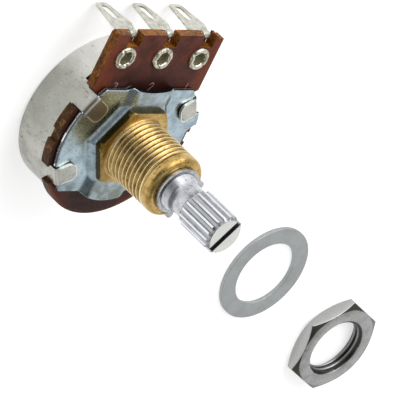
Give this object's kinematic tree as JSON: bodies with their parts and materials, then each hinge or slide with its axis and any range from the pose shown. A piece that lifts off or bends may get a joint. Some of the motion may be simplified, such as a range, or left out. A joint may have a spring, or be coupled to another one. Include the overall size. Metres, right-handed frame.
{
  "type": "rotary potentiometer",
  "caption": "Panel potentiometer with a threaded brass bushing, a serrated slotted shaft, solder lugs on a laminated board, and its flat washer and hex nut.",
  "frame": {"origin": "centre of the front face of the bushing's hex flange, where the panel seats, on the shaft's axis", "axes": "+Z along the shaft towards its tip, +Y towards the terminals, +X to the right seen from the front"},
  "size_m": [0.0946, 0.0671, 0.0314],
  "materials": {
    "aluminium": "machined",
    "spring_steel": "bright",
    "brass": "turned",
    "zinc_plate": "zinc plated",
    "phenolic": "laminated board",
    "tin_plate": "satin, tin plated",
    "tinned_brass": "matte, tinned",
    "eyelet_plate": "bright",
    "carbon": "printed film",
    "silver_print": "printed film",
    "fibre": "fibre washer",
    "bronze": "spring sheet",
    "rotor_moulding": "moulded",
    "washer_steel": "matte, plated",
    "nut_nickel": "nickel plated"
  },
  "bodies": {
    "housing": {"bushing": "brass", "mounting_plate": "zinc_plate", "element_board": "phenolic", "cover": "tin_plate", "terminal_1": "tinned_brass", "terminal_2": "tinned_brass", "terminal_3": "tinned_brass", "eyelet_1": "eyelet_plate", "eyelet_2": "eyelet_plate", "eyelet_3": "eyelet_plate", "carbon_track": "carbon", "track_lead_1": "silver_print", "track_lead_3": "silver_print", "collector_ring": "silver_print", "flat_washer": "washer_steel", "hex_nut": "nut_nickel"},
    "spindle": {"shaft": "aluminium", "retaining_ring": "spring_steel", "thrust_washer": "fibre", "wiper_spring": "bronze", "rotor_disc": "rotor_moulding"}
  },
  "joints": [
    {"name": "shaft_turn", "type": "hinge", "parent": "housing", "child": "spindle", "pos_m": [0, 0, 0], "axis": [0, 0, 1], "range_deg": [-150, 150]}
  ]
}
